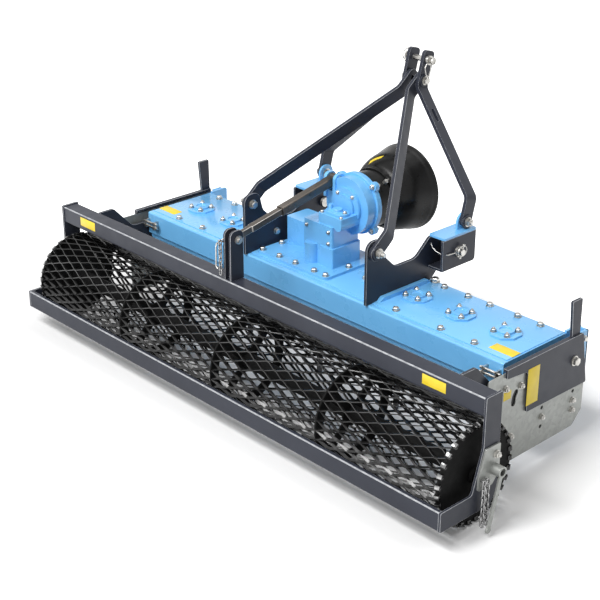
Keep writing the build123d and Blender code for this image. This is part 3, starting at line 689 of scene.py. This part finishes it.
def headstock_bolts():
    """Through bolts of the legs and struts, heads outside and nuts inside."""
    bm = bmesh.new()
    for side in LEFT_RIGHT:
        out = (side, 0, 0)
        inward = (-side, 0, 0)
        add_bolt(bm, at(side * 342, *LEG_FOOT), out, 24, stud=6)
        add_bolt(bm, at(side * 318, *LEG_FOOT), inward, 24)
        add_bolt(bm, at(side * 310, *STRUT_FOOT), out, 24, stud=12)
        add_bolt(bm, at(side * 283, *STRUT_FOOT), inward, 24)
        add_bolt(bm, at(side * 42, *STRUT_TOP), out, 22)
        for y in (400, 470):
            add_bolt(bm, at(side * 283, y, 425), inward, 18)
    piece("headstock_bolts", bm, "main_frame", "zinc")


def add_linchpin(bm, spot, along, out):
    """Linchpin through a pin's end: a straight peg with its sprung ring folded beside it."""
    peg = facing(spot, along)
    add_length(bm, peg, -22, 22, 3.6, sides=12)
    add_length(bm, peg, 20, 28, 5.5, sides=12)
    add_ring(bm, facing(spot + Vector(along) * 4 * MM + Vector(out) * 2 * MM, out), 21, 1.7, squash=0.85)


LOWER_WIRE = ((292, 556, 508), (304, 550, 497), (322, 549, 488), (342, 553, 482), (356, 566, 480),
              (361, 600, 480))
TOP_WIRE = ((52, 786, 1012), (53, 772, 1012), (53, 764, 1000), (53, 770, 976), (54, 782, 968),
            (54, 790, 985), (54, 792, 1006))
TOP_WIRE_END = ((54, 786, 975), (54, 783, 955), (54, 776, 942), (54, 770, 950), (54, 778, 968))


def hitch_linchpins():
    """Linchpins, collars, pin heads and wires on the top pin and the lower hitch pins."""
    bm = bmesh.new()
    for side in LEFT_RIGHT:
        out = (side, 0, 0)
        head = facing(at(side * 276, *LOWER_PIN), (-side, 0, 0))
        add_length(bm, head, -1, 8, 18, 17, sides=28)
        add_length(bm, facing(at(side * 353, *LOWER_PIN), out), -1, 6, 20, 19, sides=28)
        add_linchpin(bm, at(side * 366, *LOWER_PIN), (0, 0.35, 0.94), out)
        add_wire(bm, [(side * x, y, z) for x, y, z in LOWER_WIRE], 1.8)
    head = facing(at(-50, *TOP_PIN), (-1, 0, 0))
    add_length(bm, head, 0, 7, 15, 14, sides=28)
    add_linchpin(bm, at(-58, *TOP_PIN), (0, 0.5, 0.87), (-1, 0, 0))
    tube = facing(at(38, *TOP_PIN), (1, 0, 0))
    add_length(bm, tube, 0, 9, 17, 16, sides=28)
    add_ring(bm, facing(at(61, *TOP_PIN), (1, 0, 0)), 9, 3.4)
    add_wire(bm, TOP_WIRE, 1.8)
    add_wire(bm, TOP_WIRE_END, 1.6)
    piece("hitch_linchpins", bm, "main_frame", "zinc")


DEFLECTOR_FACE = 874
DEFLECTOR_BOLTS = ((238, 316), (309, 302), (276, 145), (422, 154), (575, 154), (575, 121))
CORNER_PLATE_Z = (215, 373)
CORNER_PLATE_FRONT = 637
BEHIND_DEFLECTOR = 869.7
# Black blocks behind the deflector's slot and holes are painted shade.
SHADE_BLOCK_INNER = 866.5
SHADE_BLOCK_REACH = 9
HEIGHT_HOLES_Y = (422, 575)
HEIGHT_HOLES_Z = (121, 185)


def end_bolts():
    """Bolts on the deflectors and the trough's corner plates, and the arm pivots."""
    bm = bmesh.new()
    for side in LEFT_RIGHT:
        out = (side, 0, 0)
        for y, z in DEFLECTOR_BOLTS:
            add_bolt(bm, at(side * DEFLECTOR_FACE, y, z), out, 16, stud=3)
        add_bolt(bm, at(side * 870, 616, 350), out, 15)
    piece("deflector_bolts", bm, "main_frame", "zinc")
    bm = bmesh.new()
    for side in LEFT_RIGHT:
        stand = facing(at(side * 840, *ARM_PIVOT), (side, 0, 0))
        add_length(bm, stand, 0, 42, 12, sides=32)
        add_bolt(bm, at(side * 882, *ARM_PIVOT), (side, 0, 0), 24)
    pivots = piece("pivot_bolts_dressed", bm, "main_frame", "zinc")
    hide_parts("pivot_bolts")


def corner_plates():
    """Blue plates at the trough's front corners, which show before the deflectors' slanted edges."""
    bm = bmesh.new()
    bottom, top = CORNER_PLATE_Z
    for side in LEFT_RIGHT:
        for x, rear in ((860, 597), (837, 629)):
            inner, outer = sorted((side * x, side * BEHIND_DEFLECTOR))
            add_block(bm, (inner, rear, bottom), (outer, CORNER_PLATE_FRONT, top), soft=1.2)
    piece("trough_corner_plates", bm, "main_frame", "blue_paint")


def slot_shade_blocks():
    """Black blocks behind the deflectors' slots and height holes: painted shade that makes them read as
    dark openings.
    """
    bm = bmesh.new()
    for side in LEFT_RIGHT:
        inner, outer = sorted((side * SHADE_BLOCK_INNER, side * BEHIND_DEFLECTOR))
        add_block(bm, (inner, 256, 240), (outer, 312, 300), soft=0.4)
        for y in HEIGHT_HOLES_Y:
            for z in HEIGHT_HOLES_Z:
                add_block(bm, (inner, y - SHADE_BLOCK_REACH, z - SHADE_BLOCK_REACH),
                          (outer, y + SHADE_BLOCK_REACH, z + SHADE_BLOCK_REACH), soft=0.4)
    piece("deflector_slot_shade", bm, "main_frame", "guard_plastic")


def bracket_bolts():
    """Bolts of the end brackets and nuts of the stop pins."""
    bm = bmesh.new()
    for side in LEFT_RIGHT:
        add_bolt(bm, at(side * 1006, 44, 238), (side, 0, 0), 18, stud=4)
    piece("bracket_bolts", bm, "roller_frame", "zinc")
    bm = bmesh.new()
    for side in LEFT_RIGHT:
        for z in (331, 345):
            add_bolt(bm, at(side * 780, 250, z), (-side, 0, 0), 11, stud=3)
    piece("stop_pin_nuts", bm, "main_frame", "zinc")


REAR_PIN_WIRE = ((-106, 36, 558), (-118, 34, 552), (-126, 20, 540), (-126, 2, 534), (-120, -6, 526),
                 (-119, -8, 462), (-112, -8, 456))


def link_pins():
    """Heads of the depth link's pins, with the rear one's hanging wire."""
    bm = bmesh.new()
    for x, out in ((-112, -1), (-51, 1)):
        add_length(bm, facing(at(x, *LINK_FRONT), (out, 0, 0)), -2, 4, 15, 14, sides=28)
    piece("link_front_pin_heads", bm, "main_frame", "zinc")
    bm = bmesh.new()
    add_length(bm, facing(at(-103, *LINK_REAR), (-1, 0, 0)), -2, 5, 15, 14, sides=28)
    add_length(bm, facing(at(-58, *LINK_REAR), (1, 0, 0)), -1, 4, 14, 13.5, sides=28)
    add_length(bm, facing(at(-54, *LINK_REAR), (1, 0, 0)), 0, 7, 9, 8, sides=20)
    add_wire(bm, REAR_PIN_WIRE, 2.6)
    piece("link_rear_pin_head", bm, "link_rod_body", "zinc")


# Keeper chains

CHAIN_PITCH = 14.6
CHAIN_RING = 5.2
CHAIN_WIRE = 2.3
CHAIN_STRETCH = 4.4
HOOK_WIRE = 2.6
UPRIGHT_HOOK = ((-91, 12, 553.5), (-91, -7, 553.5), (-106, -7, 553.5))


def add_chain(bm, x, y, top, count):
    """Oval links, every other one turned a quarter."""
    for n in range(count):
        before = set(bm.verts)
        middle = at(x, y, top - CHAIN_PITCH * n)
        stand = Matrix.Translation(middle) @ Matrix.Rotation(pi / 2 * ((n + 1) % 2), 4, "Z")
        add_ring(bm, stand @ Matrix.Rotation(pi / 2, 4, "X"), CHAIN_RING, CHAIN_WIRE, steps=16)
        link = [vert for vert in bm.verts if vert not in before]
        for vert in link:
            vert.co.z += (CHAIN_STRETCH if vert.co.z > middle.z else -CHAIN_STRETCH) * MM


def keeper_chains():
    """Chains on a hook of the depth upright and on studs beside the end brackets."""
    bm = bmesh.new()
    add_chain(bm, -98, -7, 548, 8)
    add_wire(bm, UPRIGHT_HOOK, HOOK_WIRE)
    for side in LEFT_RIGHT:
        for y in (0, -17):
            add_chain(bm, side * 1018, y, 172, 10)
            add_length(bm, facing(at(side * 1006, y, 177.5), (side, 0, 0)), 0, 20, HOOK_WIRE, sides=12)
    chains = piece("oval_link_chains", bm, "roller_frame", "link_steel", crease=60)
    chains.data.materials[0] = GREY_METAL_AND_GLINT
    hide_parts("keeper_chains")


# Blank yellow patches

PATCH_SOFT = 0.25


def patches():
    """Plain yellow patches on the beam, the right side plate, the deflector and the lid."""
    bm = bmesh.new()
    for x in (-845, 808):
        add_block(bm, (x - 44, -0.6, 379), (x + 44, 0.4, 411), soft=PATCH_SOFT)
    piece("beam_yellow_patches", bm, "roller_frame", None, material=YELLOW)
    bm = bmesh.new()
    add_block(bm, (881.6, 331, 227), (882.6, 385, 348), soft=PATCH_SOFT)
    add_block(bm, (873.6, 232, 276), (874.6, 266, 304), soft=PATCH_SOFT)
    for x in (-790, 790):
        add_block(bm, (x - 45, 312, SHEET_TOP - 0.4), (x + 45, 352, SHEET_TOP + 0.6), soft=PATCH_SOFT)
    piece("frame_yellow_patches", bm, "main_frame", None, material=YELLOW)


# Stage, light and camera

CAMERA_PLACE = (3.0065, -2.8986, 2.1915)
CAMERA_RIGHT = (0.68391, 0.72957, 0)
CAMERA_UP = (-0.30406, 0.28503, 0.90902)
CAMERA_BACK = (0.66319, -0.62169, 0.41676)
CAMERA_LENS = 82.26
GLOW_SCALE = (0.85, 1.2, 1)
GLOW_SHIFT = (0.12, 0.1, 0)
GLOW_REACH = (1.0, 1.4)
GLOW_LEVELS = (0.04, 0.95)


def seen_directly(tree):
    """One where the camera, a reflection or clear glass looks, zero for other light."""
    path = tree.nodes.new("ShaderNodeLightPath")
    total = None
    for ray in ("Is Camera Ray", "Is Glossy Ray", "Is Transmission Ray"):
        if total is None:
            total = path.outputs[ray]
            continue
        most = tree.nodes.new("ShaderNodeMath")
        most.operation = "MAXIMUM"
        tree.links.new(total, most.inputs[0])
        tree.links.new(path.outputs[ray], most.inputs[1])
        total = most.outputs["Value"]
    return total


def studio_world(light):
    """White surroundings to look at, with a softer even light from them."""
    world = bpy.data.worlds.new("studio")
    bpy.context.scene.world = world
    world.use_nodes = True
    tree = world.node_tree
    strength = tree.nodes.new("ShaderNodeMapRange")
    strength.inputs["To Min"].default_value = light
    strength.inputs["To Max"].default_value = 1.0
    tree.links.new(seen_directly(tree), strength.inputs["Value"])
    tree.nodes["Background"].inputs["Color"].default_value = (1, 1, 1, 1)
    tree.links.new(strength.outputs["Result"], tree.nodes["Background"].inputs["Strength"])


def floor():
    """White floor that keeps the shadow near the machine and glows further out, clear from below."""
    bm = bmesh.new()
    bmesh.ops.create_grid(bm, x_segments=1, y_segments=1, size=20)
    bmesh.ops.translate(bm, verts=bm.verts, vec=(0, 0, -0.0005))
    mesh = bpy.data.meshes.new("studio_floor")
    bm.to_mesh(mesh)
    bm.free()
    material = bpy.data.materials.new("floor_white")
    material.use_nodes = True
    tree = material.node_tree
    shader = tree.nodes["Principled BSDF"]
    shader.inputs["Base Color"].default_value = (0.9, 0.9, 0.9, 1)
    shader.inputs["Roughness"].default_value = 0.9
    shader.inputs["Emission Color"].default_value = (1, 1, 1, 1)
    coords = tree.nodes.new("ShaderNodeTexCoord")
    oval = tree.nodes.new("ShaderNodeMapping")
    oval.inputs["Scale"].default_value = GLOW_SCALE
    oval.inputs["Location"].default_value = GLOW_SHIFT
    tree.links.new(coords.outputs["Object"], oval.inputs["Vector"])
    distance = tree.nodes.new("ShaderNodeVectorMath")
    distance.operation = "LENGTH"
    tree.links.new(oval.outputs["Vector"], distance.inputs[0])
    glow = tree.nodes.new("ShaderNodeMapRange")
    glow.interpolation_type = "SMOOTHSTEP"
    glow.inputs["From Min"].default_value = GLOW_REACH[0]
    glow.inputs["From Max"].default_value = GLOW_REACH[1]
    glow.inputs["To Min"].default_value = GLOW_LEVELS[0]
    glow.inputs["To Max"].default_value = GLOW_LEVELS[1]
    tree.links.new(distance.outputs["Value"], glow.inputs["Value"])
    shown = tree.nodes.new("ShaderNodeMath")
    shown.operation = "MULTIPLY"
    tree.links.new(glow.outputs["Result"], shown.inputs[0])
    tree.links.new(seen_directly(tree), shown.inputs[1])
    tree.links.new(shown.outputs["Value"], shader.inputs["Emission Strength"])
    clear = tree.nodes.new("ShaderNodeBsdfTransparent")
    sides = tree.nodes.new("ShaderNodeMixShader")
    face = tree.nodes.new("ShaderNodeNewGeometry")
    tree.links.new(face.outputs["Backfacing"], sides.inputs["Fac"])
    tree.links.new(shader.outputs["BSDF"], sides.inputs[1])
    tree.links.new(clear.outputs["BSDF"], sides.inputs[2])
    tree.links.new(sides.outputs["Shader"], tree.nodes["Material Output"].inputs["Surface"])
    mesh.materials.append(material)
    obj = bpy.data.objects.new("studio_floor", mesh)
    bpy.context.scene.collection.objects.link(obj)


def lamp(name, place, aim, size, power, height=None):
    """Soft lamp that looks at a point, square unless its height is given."""
    light = bpy.data.lights.new(name, "AREA")
    light.shape = "RECTANGLE"
    light.size = size
    light.size_y = height or size
    light.energy = power
    obj = bpy.data.objects.new(name, light)
    obj.matrix_world = facing(Vector(place), Vector(place) - Vector(aim))
    bpy.context.scene.collection.objects.link(obj)


def camera():
    """Camera at the photograph's viewing angle."""
    lens = bpy.data.cameras.new("photo_camera")
    lens.lens = CAMERA_LENS
    lens.sensor_width = 36
    lens.clip_end = 100
    obj = bpy.data.objects.new("photo_camera", lens)
    turn = Matrix((CAMERA_RIGHT, CAMERA_UP, CAMERA_BACK)).transposed().to_4x4()
    obj.matrix_world = Matrix.Translation(CAMERA_PLACE) @ turn
    bpy.context.scene.collection.objects.link(obj)
    bpy.context.scene.camera = obj


# Putting it together

camera()
studio_world(light=0.30)
floor()
lamp("main_from_behind", (0.7, -4.15, 4.80), (0, 0, 0.3), size=2.8, power=235)
lamp("strip_from_behind", (-0.75, -2.9, 4.70), (-0.75, 0, 0.2), size=3.6, power=120, height=0.8)
lamp("top_light", (0.2, 2.0, 5.4), (0, 0, 0.3), size=3.2, power=70)
bpy.context.scene.view_settings.view_transform = "Standard"

SOFTENED = {
    "top_beam": 0.6, "lower_beam": 0.8, "end_plates": 1.2, "roller_arms": 1.2, "depth_upright": 1.2,
    "saddle_plates": 1.4, "hitch_cheeks": 1.2, "hitch_tops": 1.2, "front_legs": 1.6, "rear_struts": 1.6,
    "side_plates": 1.0, "corner_uprights": 1.4, "deflectors": 0.7, "deflector_brackets": 0.8,
    "trough_pan": 1.4, "trough_lid": 1.0, "bearing_caps": 1.2, "bearing_seats": 1.2,
    "gearbox_housing": 2.2, "gearbox_bell": 1.8, "gearbox_cover": 1.4, "guard_collar": 1.2,
    "end_brackets": 0.8, "stop_pins": 0.8, "link_sleeve": 2.2, "link_rod": 2.2,
    "top_pin": 1.0, "hitch_pins": 1.0, "link_pin": 0.8, "roller_discs": 0.6, "roller_axle": 1.0,
}
for number in range(1, 10):
    SOFTENED[f"rotor_{number}"] = 1.4
for node, width in SOFTENED.items():
    softened(node, width)

mesh_drum()
drum_rims()
spline_stub()
guard_cone()
guard_strip()
guard_clip()
lid_sheet()
trough_bolts()
gearbox_bolts()
bearing_cap()
headstock_bosses()
headstock_bolts()
hitch_linchpins()
end_bolts()
corner_plates()
slot_shade_blocks()
bracket_bolts()
link_pins()
keeper_chains()
patches()

for node, obj in frame["nodes"].items():
    obj.data.materials.clear()
    obj.data.materials.append(FINISH[SLOT_OF[node]])
